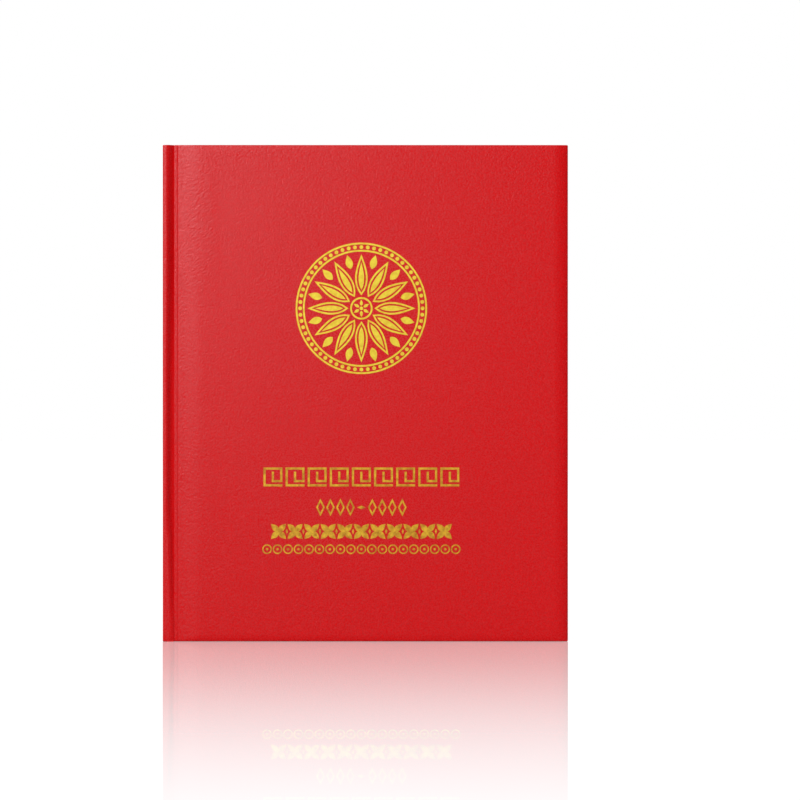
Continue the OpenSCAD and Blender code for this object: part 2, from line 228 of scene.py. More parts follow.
def turned(points: Points, faces: Faces, number: int, way: Vector) -> Faces:
    """Turns a run of faces so that the face of a number faces a way."""
    facing = geometry.normal([Vector(points[k]) for k in faces[number]])
    return faces if facing.dot(way) > 0 else [face[::-1] for face in faces]


def swept_sheet(name: str, profile: Callable[[float], np.ndarray], heights: Sequence[float],
                facing: Vector) -> Piece:
    """Makes a sheet whose cross-section is a line that may change up its height.

    Args:
        name: The piece's name.
        profile: Gives the section's x and y for a height, as rows of two numbers.
        heights: The heights of the sections.
        facing: A direction that the last face of the first section faces.

    Returns:
        The piece, as thin as paper.
    """
    rows = [np.column_stack([line, np.full(len(line), z)])
            for z in heights for line in [profile(z)]]
    columns = len(rows[0])
    return mesh_piece(name, np.concatenate(rows), grid_faces(len(rows), columns),
                      (columns - 2, facing))


def thicken(piece: Piece, thickness: float, centred: bool = False) -> None:
    """Gives a sheet its thickness.

    Args:
        piece: The sheet.
        thickness: In millimetres.
        centred: Whether the sheet is the middle of the thickness and not its face.
    """
    wall = piece.modifiers.new("Thickness", "SOLIDIFY")
    wall.thickness = thickness * MM
    wall.offset = 0 if centred else -1


# ---- materials ----

def linear(code: str) -> tuple[float, ...]:
    """Turns an sRGB hex colour such as #C81E1E into Blender's linear colour, with alpha 1."""
    shares = [int(code[k:k + 2], 16) / 255 for k in (1, 3, 5)]
    return *(s / 12.92 if s <= 0.04045 else ((s + 0.055) / 1.055) ** 2.4 for s in shares), 1.0


def add(tree: Tree, kind: str, inputs: dict[str | int, Any] | None = None,
        **settings: Any) -> Node:
    """Adds a node with its settings and links.

    Args:
        tree: The node tree.
        kind: The node's type, such as ShaderNodeMath.
        inputs: For each socket, by its name or number, a value, another node's output, or a
            node that gives its first output.
        **settings: The node's own options.

    Returns:
        The node.
    """
    made = tree.nodes.new(kind)
    for option, choice in settings.items():
        setattr(made, option, choice)
    for socket, source in (inputs or {}).items():
        if isinstance(source, Node):
            source = source.outputs[0]
        if isinstance(source, Socket):
            tree.links.new(source, made.inputs[socket])
        else:
            made.inputs[socket].default_value = source
    return made


def from_middle(tree: Tree, axis: Socket, low: float, high: float) -> Node:
    """Adds the distance along an axis from the middle between low and high."""
    off = add(tree, "ShaderNodeMath", {0: axis, 1: (low + high) / 2 * MM}, operation="SUBTRACT")
    return add(tree, "ShaderNodeMath", {0: off}, operation="ABSOLUTE")


def cleared(owner: bpy.types.Material | bpy.types.World) -> Tree:
    """Gives the node tree of a material or a world, emptied.

    Args:
        owner: The material or world.

    Returns:
        Its tree.
    """
    owner.use_nodes = True
    owner.node_tree.nodes.clear()
    return owner.node_tree


@dataclass(frozen=True)
class Finish:
    """A finish whose colour drifts between two, in patches, over a relief of its own scale."""

    name: str
    colour: str
    shade: str
    roughness: float
    roughness_spread: float = 0.05
    tone_mm: float = 14.0
    tone_detail: float = 3.0
    relief_mm: float = 0.6
    relief_detail: float = 1.0
    depth_mm: float = 0.02
    metallic: float = 0.0
    alpha: float = 1.0
    ior: float = 1.5
    # The part of a pattern's range over which the colour and the gloss change
    change: tuple[float, float] = (0.3, 0.7)

    def material(self) -> bpy.types.Material:
        """Gives the finish's material, made once.

        Returns:
            The material.
        """
        if self.name in bpy.data.materials:
            return bpy.data.materials[self.name]
        made = bpy.data.materials.new(self.name)
        tree = cleared(made)
        place = add(tree, "ShaderNodeTexCoord").outputs["Object"]
        tone, height = self.patterns(tree, place)
        share, rough = (
            add(tree, "ShaderNodeMapRange", {
                "Value": tone, "From Min": self.change[0], "From Max": self.change[1],
                "To Min": low, "To Max": high})
            for low, high in ((0.0, 1.0), (self.roughness - self.roughness_spread,
                                           self.roughness + self.roughness_spread)))
        colour = add(tree, "ShaderNodeMix", {
            0: share, MIX_A: linear(self.colour), MIX_B: linear(self.shade)}, data_type="RGBA")
        bump = add(tree, "ShaderNodeBump",
                   {"Height": height, "Distance": self.depth_mm * MM, "Strength": 1.0})
        shader = add(tree, "ShaderNodeBsdfPrincipled", {
            "Base Color": self.printed(tree, place, colour.outputs[MIX_OUT]), "Roughness": rough,
            "Normal": bump, "Metallic": self.metallic, "Alpha": self.alpha, "IOR": self.ior})
        add(tree, "ShaderNodeOutputMaterial", {"Surface": shader})
        return made

    def patterns(self, tree: Tree, place: Socket) -> list[Node]:
        """Adds the patterns of the colour and of the relief.

        Args:
            tree: The material's tree.
            place: The place on the piece.

        Returns:
            The two patterns, each from 0 to 1.
        """
        return [add(tree, "ShaderNodeTexNoise",
                    {"Vector": place, "Scale": 1 / (size * MM), "Detail": detail})
                for size, detail in ((self.tone_mm, self.tone_detail),
                                     (self.relief_mm, self.relief_detail))]

    def printed(self, tree: Tree, place: Socket, colour: Socket) -> Socket:
        """Gives the colour with what is printed over it: nothing, on a plain finish."""
        return colour


@dataclass(frozen=True)
class Leatherette(Finish):
    """PU-coated leatherette, calendered with a fine pebble grain and left satin.

    The coat is dyed through, so it stays one red, and its grain spreads the light into a soft,
    paler sheen. Real pebbles are half a millimetre wide; they are drawn more than twice as
    wide, because they would not show otherwise.
    """

    tone_mm: float = 1.05
    depth_mm: float = 0.055
    ior: float = 1.45
    pebble_mm: float = 1.3
    wrinkle_mm: float = 0.9
    wrinkle_depth_mm: float = 0.185
    wrinkle_slant: float = 50.0
    wrinkle_stretch: float = 3.5
    # Where the coat is wrinkled, beside the upper end of the hinge: by x and by z
    wrinkled: tuple[tuple[float, float], ...] = ((-118.0, -88.0), (205.0, 318.0))
    full_strength: float = 0.2

    def patterns(self, tree: Tree, place: Socket) -> list[Node]:
        """Adds the mottling, and the relief of pebbles and of short stretch wrinkles.

        Args:
            tree: The material's tree.
            place: The place on the piece.

        Returns:
            The two patterns.
        """
        tone = super().patterns(tree, place)[0]
        pebbles = add(tree, "ShaderNodeTexVoronoi", {
            "Vector": place, "Scale": 1 / (self.pebble_mm * MM), "Smoothness": 0.5},
            feature="SMOOTH_F1")
        # The wrinkles run up and away from the hinge
        slanted = add(tree, "ShaderNodeMapping", {
            "Vector": place, "Rotation": (0.0, math.radians(self.wrinkle_slant), 0.0),
            "Scale": (1.0, 1.0, self.wrinkle_stretch)}, vector_type="TEXTURE")
        wrinkles = add(tree, "ShaderNodeTexNoise", {
            "Vector": slanted, "Scale": 1 / (self.wrinkle_mm * MM), "Detail": 2.0})
        axes = add(tree, "ShaderNodeSeparateXYZ", {0: place}).outputs
        for axis, (low, high) in zip((axes["X"], axes["Z"]), self.wrinkled):
            half = (high - low) / 2 * MM
            near = add(tree, "ShaderNodeMapRange", {
                "Value": from_middle(tree, axis, low, high), "From Min": half,
                "From Max": self.full_strength * half}, interpolation_type="SMOOTHSTEP")
            wrinkles = add(tree, "ShaderNodeMath", {0: wrinkles, 1: near}, operation="MULTIPLY")
        grain = add(tree, "ShaderNodeMath", {0: tone, 1: pebbles}, operation="SUBTRACT")
        height = add(tree, "ShaderNodeMath", {
            0: wrinkles, 1: self.wrinkle_depth_mm / self.depth_mm, 2: grain},
            operation="MULTIPLY_ADD")
        return [tone, height]


@dataclass(frozen=True)
class Foil(Finish):
    """Hot-stamped metallised foil: a lacquered film of metal pressed into the grain.

    The grain under it breaks its mirror, and the lacquer keeps it yellow from every side.
    """

    tone_mm: float = 2.4
    relief_mm: float = 0.7
    depth_mm: float = 0.03


@dataclass(frozen=True)
class Paper(Finish):
    """Paper, card or board: pressed fibres, matte to the eye, with a faint cloudy formation.

    Fibres are finer than a tenth of a millimetre; their tooth is drawn coarser, to show.
    """

    tone_detail: float = 6.0
    relief_detail: float = 4.0


@dataclass(frozen=True)
class RuledCard(Paper):
    """Ivory card for album leaves, offset-printed with a thin double rule near its edges."""

    ink: str = "#8C7A56"
    # How far inside the outer rule each rule lies, and how wide it is
    rules: tuple[tuple[float, float], ...] = ((0.0, 0.45), (1.6, 0.25))
    ruled: tuple[tuple[float, float], ...] = ((0.0, 1.0), (0.0, 1.0))

    def printed(self, tree: Tree, place: Socket, colour: Socket) -> Socket:
        """Prints the rules over the card.

        Args:
            tree: The material's tree.
            place: The place on the piece.
            colour: The card's colour.

        Returns:
            The colour with the rules.
        """
        axes = add(tree, "ShaderNodeSeparateXYZ", {0: place}).outputs
        past = [add(tree, "ShaderNodeMath", {
            0: from_middle(tree, axis, low, high), 1: (high - low) / 2 * MM}, operation="SUBTRACT")
            for axis, (low, high) in zip((axes["X"], axes["Z"]), self.ruled)]
        edge = add(tree, "ShaderNodeMath", {0: past[0], 1: past[1]}, operation="MAXIMUM")
        lines = [add(tree, "ShaderNodeMath", {0: edge, 1: -inwards * MM, 2: width / 2 * MM},
                     operation="COMPARE") for inwards, width in self.rules]
        inked = add(tree, "ShaderNodeMath", {0: lines[0], 1: lines[1]}, operation="MAXIMUM")
        return add(tree, "ShaderNodeMix", {0: inked, MIX_A: colour, MIX_B: linear(self.ink)},
                   data_type="RGBA").outputs[MIX_OUT]


@dataclass(frozen=True)
class Cloth(Finish):
    """Plain-woven book cloth or linen: threads that pass over and under, dull between them.

    Real threads are about a quarter of a millimetre apart and are drawn coarser, to show.
    """

    thread_mm: float = 0.55
    depth_mm: float = 0.05
    # The node draws 20 waves in 2 pi lengths at scale 1, and a wave takes about two threads
    wave_share: float = 0.16

    def patterns(self, tree: Tree, place: Socket) -> list[Node]:
        """Adds the weave, for the colour and the relief alike.

        Args:
            tree: The material's tree.
            place: The place on the piece.

        Returns:
            The two patterns.
        """
        warp, weft = (add(tree, "ShaderNodeTexWave", {
            "Vector": place, "Scale": self.wave_share / (self.thread_mm * MM),
            "Distortion": 0.6, "Detail": 1.0}, bands_direction=way).outputs["Fac"]
            for way in ("X", "Z"))
        return [add(tree, "ShaderNodeMath", {0: warp, 1: weft}, operation="MAXIMUM")] * 2


@dataclass(frozen=True)
class Film(Finish):
    """Clear or dyed plastic film or glassine: glossy, and never quite flat.

    Its slow waves bend what it mirrors.
    """

    tone_mm: float = 22.0
    tone_detail: float = 2.0
    depth_mm: float = 0.25

    def patterns(self, tree: Tree, place: Socket) -> list[Node]:
        """Adds the waves, for the colour and the relief alike."""
        return super().patterns(tree, place)[:1] * 2


@dataclass(frozen=True)
class Foam(Finish):
    """Open-cell polyurethane foam: pale, dull cells, drawn twice their real width to show."""

    cell_mm: float = 0.7
    depth_mm: float = 0.15

    def patterns(self, tree: Tree, place: Socket) -> list[Node]:
        """Adds the cells, for the colour and the relief alike."""
        return [add(tree, "ShaderNodeTexVoronoi",
                    {"Vector": place, "Scale": 1 / (self.cell_mm * MM)})] * 2


@dataclass(frozen=True)
class Brass(Finish):
    """Lacquered turned brass: a warm metal with fine tool marks and small dull spots."""

    metallic: float = 1.0
    tone_mm: float = 1.5
    tone_detail: float = 4.0
    relief_mm: float = 0.25
    depth_mm: float = 0.01


# The case: one deep red, under a satin haze on the side of the light
RED_LEATHERETTE = Leatherette("red_pu_leatherette", "#D20E12", "#C90A0D", 0.28, 0.08)
# The binding strips: a thinner coat, darker and duller
STRIP_LEATHERETTE = Leatherette("strip_pu_leatherette", "#8F1418", "#861216", 0.5)
# The medallion: lemon gold; the bands: a browner gold, in random patches of yellow and brown that are
# painted highlight and painted shade on the stamped strokes
BRIGHT_FOIL = Foil("bright_gold_foil", "#FAE444", "#E6C22C", 0.38, metallic=0.42)
OCHRE_FOIL = Foil("ochre_gold_foil", "#FACB38", "#BE7E16", 0.34, metallic=0.38)
# The insides of the covers: smooth wine red
LINING_PAPER = Paper("wine_red_endpaper", "#7C171B", "#771519", 0.72)
# Boards of waste paper: brownish grey, coarse and quite matte
GREYBOARD = Paper("greyboard", "#A2978A", "#8F8578", 0.85, relief_mm=0.9)
# Stubs and fillers: the same ivory card as the leaves, unprinted
FILLER_CARD = Paper("ivory_filler_card", "#EDE6D2", "#E4DBC4", 0.75)
# The cloth under the joints: dark red threads, stiff with starch
HINGE_CLOTH = Cloth("starched_red_book_cloth", "#8E1C20", "#A32428", 0.78)
# The hinges of the leaves: off-white linen with gum behind it
LINEN_TAPE = Cloth("gummed_linen_tape", "#DDD6C4", "#F3EEDF", 0.8, thread_mm=0.45)
# Pocket backs: black and shiny, so that stamps stand out
BLACK_BACKING = Film("black_pvc_backing", "#0B0B0C", "#121214", 0.2)
# Pocket fronts: almost unseen but for their sharp highlights
CLEAR_FILM = Film("clear_cast_film", "#9AA0A4", "#A6ABAE", 0.08, 0.02, alpha=0.1)
# Interleaves: a milky veil with a soft shine, in wide waves
GLASSINE = Film("glassine", "#FBFAF4", "#F4F2E8", 0.34, alpha=0.2, tone_mm=35.0)
# The padding, cream as foam goes with age
PAD_FOAM = Foam("polyurethane_foam", "#E8E1C4", "#D6CDAA", 0.9)
# The screw posts: yellow metal with a soft turned shine
POST_BRASS = Brass("lacquered_brass", "#D9B25C", "#C89F4B", 0.24)


def dress(piece: Piece, finish: Finish) -> None:
    """Gives a piece one finish."""
    piece.data.materials.clear()
    piece.data.materials.append(finish.material())


def dress_nodes(finish: Finish, *nodes: str) -> None:
    """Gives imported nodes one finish.

    Args:
        finish: The finish.
        *nodes: The nodes' names.
    """
    for node in nodes:
        dress(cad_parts[node], finish)
        log.info("%s: packed node in %s", node, finish.name)


def stand_for(piece: Piece, slot: str, *nodes: str) -> None:
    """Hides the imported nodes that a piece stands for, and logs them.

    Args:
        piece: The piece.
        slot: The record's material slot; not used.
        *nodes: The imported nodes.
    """
    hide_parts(*nodes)
    log.info("%s: %d points, in place of %s", piece.name, len(piece.data.vertices),
             ", ".join(nodes))


# ---- the case ----

class Side(Enum):
    """The two covers, by the direction of Y in which each faces."""

    FRONT = -1
    BACK = 1

    @property
    def word(self) -> str:
        """The side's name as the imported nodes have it."""
        return self.name.lower()

    @property
    def body(self) -> str:
        """The body that the side's cover rides on."""
        return f"{self.word}_cover"

    @property
    def outwards(self) -> Vector:
        """The direction that the side's cover faces."""
        return Vector((0, self.value, 0))


@dataclass(frozen=True)
class Case:
    """Where the case lies, and how depths on its two sides become places."""

    half_t: float
    height: float
    spine_x: float
    spine_edge_x: float
    hinge_x: float
    fore_x: float
    skin_t: float
    inside_v: float

    @classmethod
    def measured(cls) -> "Case":
        """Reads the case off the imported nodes.

        Returns:
            The case.
        """
        cover_low, cover_high = span("front_leatherette")
        spine_x = span("spine_leatherette")[0].x
        board_low, board_high = span("spine_board")
        return cls(half_t=-cover_low.y, height=cover_high.z, spine_x=spine_x,
                   spine_edge_x=board_high.x, hinge_x=cover_low.x, fore_x=cover_high.x,
                   skin_t=board_low.x - spine_x, inside_v=cover_high.y - cover_low.y)

    def y(self, side: Side, depth: float) -> float:
        """Gives the y of a depth below the outside of a side."""
        return side.value * (self.half_t - depth)


@dataclass
class PaddedCover:
    """A cover: leatherette drawn over foam and board and turned in round three edges."""

    case: Case
    side: Side
    crown_w: float = 9.0
    crown_depth: float = 2.1
    crown_steps: int = 14
    lip_w: float = 3.0
    lip_depth: float = 0.6
    lip_r: float = 0.25
    crease_depth: float = 0.08
    crease_w: float = 0.55
    crease_pitch: float = 0.15
    panel_rise_w: float = 14.0
    panel_pitch: float = 5.0
    # Places of points past the crease, from the hinge edge, and where the even ones begin
    rise_stops: tuple[float, ...] = (4.3, 5, 5.8, 6.8, 8, 9.4, 11, 13, 15.5)
    panel_start: float = 18.0
    head_power: float = 8.0
    tail_power: float = 5.0
    blend_power: int = 3
    corner_r: float = 0.7
    edge_r: float = 0.8
    border_pitch: float = 3.0
    mitre_dip: float = 0.18
    unevenness: float = 0.07
    wide_hollow: float = 48.0
    close_hollow: float = 17.0
    foam_clearance: float = 0.15

    def build(self) -> None:
        """Makes the leatherette and the foam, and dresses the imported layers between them."""
        self.build_leatherette()
        self.build_foam()
        word = self.side.word
        dress_nodes(GREYBOARD, f"{word}_board", f"{word}_infill_card")
        dress_nodes(LINING_PAPER, f"{word}_lining_paper")

    def hinge_fall(self, inwards: float) -> float:
        """Gives the depth of the lip, the crease and the padding's shoulder.

        Args:
            inwards: Distance from the cover's hinge edge.

        Returns:
            The depth below the padded face.
        """
        edge = elliptic_fall(inwards, self.lip_r, self.lip_r)
        middle = self.lip_w - self.crease_w / 2
        crease = self.crease_depth * math.exp(-((inwards - middle) / self.crease_w) ** 2)
        step = self.lip_depth * (1 - smooth_step(middle, middle + self.panel_rise_w, inwards))
        return edge + crease + step

    def depth(self, x: float, z: float, inset: float = 0.0) -> float:
        """Gives the depth of the padded face at a place.

        Args:
            x: The place across the cover.
            z: Its height.
            inset: How far below the leatherette's face the surface lies.

        Returns:
            The depth below the outside of the cover.
        """
        case, rounding = self.case, self.blend_power
        width, drop = self.crown_w - inset, self.crown_depth - inset
        edges = ((case.fore_x - inset - x, 2.0), (z - inset, self.tail_power),
                 (case.height - inset - z, self.head_power))
        falls = [elliptic_fall(max(0.0, edge), width, drop, power) for edge, power in edges]
        falls.append(self.hinge_fall(max(0.0, x - case.hinge_x - inset)))
        return inset + sum(fall ** rounding for fall in falls) ** (1 / rounding)

    def hollows(self, x: float, z: float) -> float:
        """Gives the faint unevenness of the padding, always inwards.

        Args:
            x: The place across the cover.
            z: Its height.

        Returns:
            The depth of the hollow there.
        """
        wide = noise.noise(Vector((x, z, 40 * self.side.value)) / self.wide_hollow)
        close = noise.noise(Vector((z, x, 90 * self.side.value)) / self.close_hollow)
        return self.unevenness * (0.5 + 0.4 * wide + 0.1 * close)

    def rounded(self, x: float, z: float) -> tuple[float, float]:
        """Rounds the two corners at the fore edge, seen from the front.

        Args:
            x: A place across the cover with square corners.
            z: Its height.

        Returns:
            The place with round corners.
        """
        case, r = self.case, self.corner_r
        at_top = z > case.height / 2
        across = (x - (case.fore_x - r)) / r
        along = ((z - (case.height - r)) if at_top else (r - z)) / r
        if across <= 0 or along <= 0:
            return x, z
        across, along = (across * math.sqrt(1 - along * along / 2),
                         along * math.sqrt(1 - across * across / 2))
        return (case.fore_x - r + across * r,
                case.height - r + along * r if at_top else r - along * r)

    def stops(self) -> tuple[list[float], list[float]]:
        """Gives the places of the face's points.

        Returns:
            The places across the cover and the places up it.
        """
        case, pitch = self.case, self.panel_pitch
        crown = [self.crown_w * (1 - math.cos(a)) for a in quarter_turn(self.crown_steps)]
        hinge = (0, *even_stops(self.lip_r, self.lip_w + 1, self.crease_pitch), *self.rise_stops)
        inner = self.crown_w + 2
        across = joined_stops(
            (case.hinge_x + a for a in hinge), (case.fore_x - a for a in crown),
            even_stops(case.hinge_x + self.panel_start, case.fore_x - inner, pitch))
        up = joined_stops(crown, even_stops(inner, case.height - inner, pitch),
                          (case.height - b for b in crown))
        return across, up

    def build_leatherette(self) -> None:
        """Makes the leatherette: face, walls, round inner edges and turned-in borders."""
        case, side, r = self.case, self.side, self.edge_r
        across, up = self.stops()
        width, columns, rows = case.fore_x - case.hinge_x, len(across), len(up)
        flat = [(x, z) for z in up for x in across]
        points = [(*self.rounded(x, z), self.depth(x, z) + self.hollows(x, z)) for x, z in flat]
        faces, rim = grid_faces(rows, columns), grid_rim(rows, columns)
        turn_in = span(f"{side.word}_infill_card")[0].z
        # Rings inside the rim: how far in, how deep, and the share of the way down to there
        walls = [(0.0, case.inside_v - r, share) for share in (0.25, 0.5, 0.75)]
        walls += [(r * (1 - math.cos(a)), case.inside_v - r * (1 - math.sin(a)), 1.0)
                  for a in quarter_turn(4)]
        borders = [(inset, case.inside_v, 1.0)
                   for inset in even_stops(r, turn_in, self.border_pitch)[1:]]
        # The walls go all round; the borders are turned in at tail, fore edge and head, and
        # mitred at the two corners between them
        corners, three_edges = (columns - 1, columns + rows - 2), rim[:2 * columns + rows - 2]
        previous: Sequence[int] = rim
        for rings, run, gaps, dip in ((walls, rim, 0, 0.0),
                                      (borders, three_edges, 1, self.mitre_dip)):
            for inset, depth, share in rings:
                ring = range(len(points), len(points) + len(run))
                for place, index in enumerate(run):
                    x, z = flat[index]
                    x = case.hinge_x + (x - case.hinge_x) * (width - inset) / width
                    z = inset + z * (case.height - 2 * inset) / case.height
                    top, mitre = points[index][2], dip if place in corners else 0.0
                    points.append((*self.rounded(x, z), top + (depth - top) * share - mitre))
                for k in range(len(run) - gaps):
                    after = (k + 1) % len(run)
                    faces.append((previous[after], previous[k], ring[k], ring[after]))
                previous = ring
        piece = mesh_piece(f"{side.word}_cover_leatherette",
                           [(x, case.y(side, v), z) for x, z, v in points], faces,
                           (rows // 2 * columns, side.outwards))
        thicken(piece, case.skin_t)
        dress(piece, RED_LEATHERETTE)
        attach(piece, side.body)
        stand_for(piece, "red_leatherette", f"{side.word}_leatherette")

    def build_foam(self) -> None:
        """Makes the foam: crowned above, flat on the board below."""
        case, side, inset = self.case, self.side, self.case.skin_t
        across, up = (
            [low] + [x for x in stops if low < x < high] + [high]
            for stops, low, high in zip(self.stops(), (case.hinge_x + inset, inset),
                                        (case.fore_x - inset, case.height - inset)))
        low, high = span(f"{side.word}_foam_pad")
        board_y = high.y if side is Side.FRONT else low.y
        rows, columns = len(up), len(across)
        top = [(x, case.y(side, self.depth(x, z, inset) + self.foam_clearance), z)
               for z in up for x in across]
        below, under = [(x, board_y, z) for x, _, z in top], len(top)
        rim = grid_rim(rows, columns)
        faces = grid_faces(rows, columns) + [f[::-1] for f in grid_faces(rows, columns, under)]
        faces += [(rim[k], rim[k - 1], under + rim[k - 1], under + rim[k]) for k in range(len(rim))]
        piece = mesh_piece(f"{side.word}_foam_padding", top + below, faces)
        dress(piece, PAD_FOAM)
        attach(piece, side.body)
        stand_for(piece, "foam", f"{side.word}_foam_pad")


@dataclass(frozen=True)
class Station:
    """The groove's slope at one height, for places across from the edge of the spine board.

    The slope grows from start to full, stays at steepness up to fade and is gone at end.
    """

    height: float
    start: float
    full: float
    fade: float
    end: float
    steepness: float

    def fall(self, x: float) -> float:
        """Gives how far the leatherette has fallen at a place.

        Args:
            x: The place.

        Returns:
            The fall.
        """
        x = min(max(x, self.start), self.end)
        grown = min(x, self.full) - self.start
        fallen = grown * grown / (2 * (self.full - self.start))
        fallen += min(max(x - self.full, 0.0), self.fade - self.full)
        over, ease = max(x - self.fade, 0.0), self.end - self.fade
        return self.steepness * (fallen + over - over * over / (2 * ease))


@dataclass
class Spine:
    """The spine and the two grooves that join it to the covers."""

    case: Case
    edge_r: float = 0.9
    least_r: float = 0.1
    cap_r: float = 0.5
    pitch: float = 3.0
    long_pitch: float = 4.0
    edge_pitch: float = 0.3
    groove_pitch: float = 0.15
    # Flat sizes, in metres: the spine's, and the width of a groove's
    spine_flat: tuple[float, float] = (0.0465, 0.34)
    groove_flat_w: float = 0.0102
    front_groove: tuple[Station, ...] = (
        Station(0, 0.6, 3.0, 3.8, 5.6, 0.2), Station(10, 1.6, 3.4, 3.8, 5.6, 0.27),
        Station(25, 1.3, 3.0, 4.2, 5.8, 0.5), Station(44, 0.9, 3.0, 3.4, 5.6, 0.75),
        Station(60, 0.5, 2.8, 3.2, 5.4, 0.8), Station(88, -0.7, 1.0, 1.8, 5.4, 0.82),
        Station(150, -0.7, 0.9, 1.8, 5.2, 0.86), Station(244, -0.4, 1.5, 3.8, 5.2, 0.9),
        Station(300, -0.5, 2.4, 3.6, 5.2, 0.8), Station(310, -0.4, 3.2, 3.6, 5.2, 0.74))
    back_groove: tuple[Station, ...] = (
        Station(0, -0.4, 2.4, 3.4, 5.4, 0.6), Station(30, -0.5, 1.4, 3.2, 5.4, 0.76),
        Station(280, -0.5, 1.4, 3.2, 5.4, 0.76), Station(310, -0.4, 2.4, 3.4, 5.4, 0.62))

    def build(self) -> None:
        """Makes the spine's leatherette and both grooves, and dresses its board and lining."""
        self.build_leatherette()
        for side in Side:
            self.build_groove(side)
        dress_nodes(GREYBOARD, "spine_board")
        dress_nodes(HINGE_CLOTH, "spine_lining")

    def fall(self, side: Side, x: float, z: float) -> float:
        """Gives how far the leatherette of the spine or a groove lies below the outside.

        Args:
            side: The side of the case.
            x: The place across, from the edge of the spine board towards the cover.
            z: The height.

        Returns:
            The fall.
        """
        stations = self.front_groove if side is Side.FRONT else self.back_groove
        low, high = next(pair for pair in zip(stations, stations[1:]) if pair[1].height >= z)
        share = smooth_step(low.height, high.height, z)
        return low.fall(x) * (1 - share) + high.fall(x) * share

    def section(self, inset: float, z: float) -> list[tuple[float, float]]:
        """Gives the spine's outline in x and y, from the front groove round to the back one.

        Args:
            inset: How far inside the outer face the line runs.
            z: The height.

        Returns:
            The outline's points.
        """
        case, bend = self.case, max(self.edge_r - inset, self.least_r)
        x_low, y_end = case.spine_x + inset, case.half_t - inset
        front, back = ([(case.spine_edge_x - a, self.fall(side, -a, z) - y_end)
                        for a in (self.edge_pitch * k for k in range(6))]
                       + [(x_low + bend * (1 - math.sin(a)), -y_end + bend * (1 - math.cos(a)))
                          for a in quarter_turn(6)] for side in Side)
        middle = [(x_low, y) for y in even_stops(-y_end + bend, y_end - bend, self.pitch)[1:-1]]
        return front + middle + [(x, -y) for x, y in reversed(back)]

    def lid(self, z: float) -> list[list[Point]]:
        """Gives the rows across an end of the spine, from the inner edge outwards.

        Args:
            z: The height of the end.

        Returns:
            The rows.
        """
        case = self.case
        inner = [(case.spine_edge_x, y * (case.half_t - case.skin_t) / case.half_t)
                 for _, y in self.section(0, 0)]
        return [[(a + (c - a) * t, b + (d - b) * t, z)
                 for (a, b), (c, d) in zip(inner, self.section(self.cap_r, z))]
                for t in (0.0, 0.35, 0.7)]

    def build_leatherette(self) -> None:
        """Makes the spine's leatherette, folded over the ends of the board and turned in."""
        case, r = self.case, self.cap_r
        cap = [(r * (1 - math.sin(a)), r * (1 - math.cos(a))) for a in quarter_turn(4)]
        heights = cap + [(0.0, z) for z in even_stops(r, case.height - r, self.long_pitch)[1:-1]]
        heights += [(inset, case.height - z) for inset, z in reversed(cap)]
        rows = self.lid(0.0)
        rows += [[(x, y, z) for x, y in self.section(inset, z)] for inset, z in heights]
        rows += self.lid(case.height)[::-1]
        columns = len(rows[0])
        points = [p for row in rows for p in row]
        middle, back = len(rows) // 2 * (columns - 1) + columns // 2, Vector((-1, 0, 0))
        faces = turned(points, grid_faces(len(rows), columns), middle, back)
        # The borders that are folded round the ends of the board onto its inside
        flap_high, inside = span("spine_lining")[0].z, case.half_t - case.inside_v
        across = even_stops(-inside, inside, self.pitch)
        line = [(case.spine_edge_x + case.skin_t * math.sin(a), case.skin_t * (1 - math.cos(a)))
                for a in quarter_turn(3)]
        line += [(case.spine_edge_x + case.skin_t, z)
                 for z in even_stops(case.skin_t, flap_high, self.long_pitch)[1:]]
        for at_head in (False, True):
            first = len(points)
            points += [(x, y, case.height - z if at_head else z) for x, z in line for y in across]
            faces += turned(points, grid_faces(len(line), len(across), first), 0,
                            Vector((0, 0, 1 if at_head else -1)))
        piece = mesh_piece("spine_leatherette_cover", points, faces, (middle, back))
        thicken(piece, case.skin_t)
        dress(piece, RED_LEATHERETTE)
        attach(piece, "binding")
        stand_for(piece, "red_leatherette", "spine_leatherette")

    def groove_line(self, side: Side, z: float) -> np.ndarray:
        """Gives a groove's section at a height.

        The leatherette slopes down to the board of the cover and, out of sight, follows the
        board's edge down to the hinge cloth, where it is glued.

        Args:
            side: The side of the case.
            z: The height.

        Returns:
            Rows of x and y, from the spine on.
        """
        case, width = self.case, self.case.hinge_x - self.case.spine_edge_x
        line = [(x, self.fall(side, x, z)) for x in even_stops(0, width, self.groove_pitch)]
        bottom, last = case.inside_v - case.skin_t, line[-1][1]
        line += [(width, last + (bottom - last) * k / 6) for k in range(1, 7)]
        return np.array([(case.spine_edge_x + x, case.y(side, v)) for x, v in line])

    def build_groove(self, side: Side) -> None:
        """Makes one groove, which bends when its cover opens.

        Args:
            side: The side of the case.
        """
        case = self.case
        piece = swept_sheet(f"{side.word}_groove_leatherette",
                            lambda z: self.groove_line(side, z),
                            even_stops(0, case.height, self.pitch), Vector((1, 0, 0)))
        thicken(piece, case.skin_t)
        dress(piece, RED_LEATHERETTE)
        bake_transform(piece, "binding", side.body,
                 start=((case.spine_edge_x + case.skin_t) * MM, 0, 0),
                 end=(case.hinge_x * MM, 0, 0))
        stand_for(piece, "red_leatherette", f"{side.word}_joint_leatherette")


# ---- the block ----

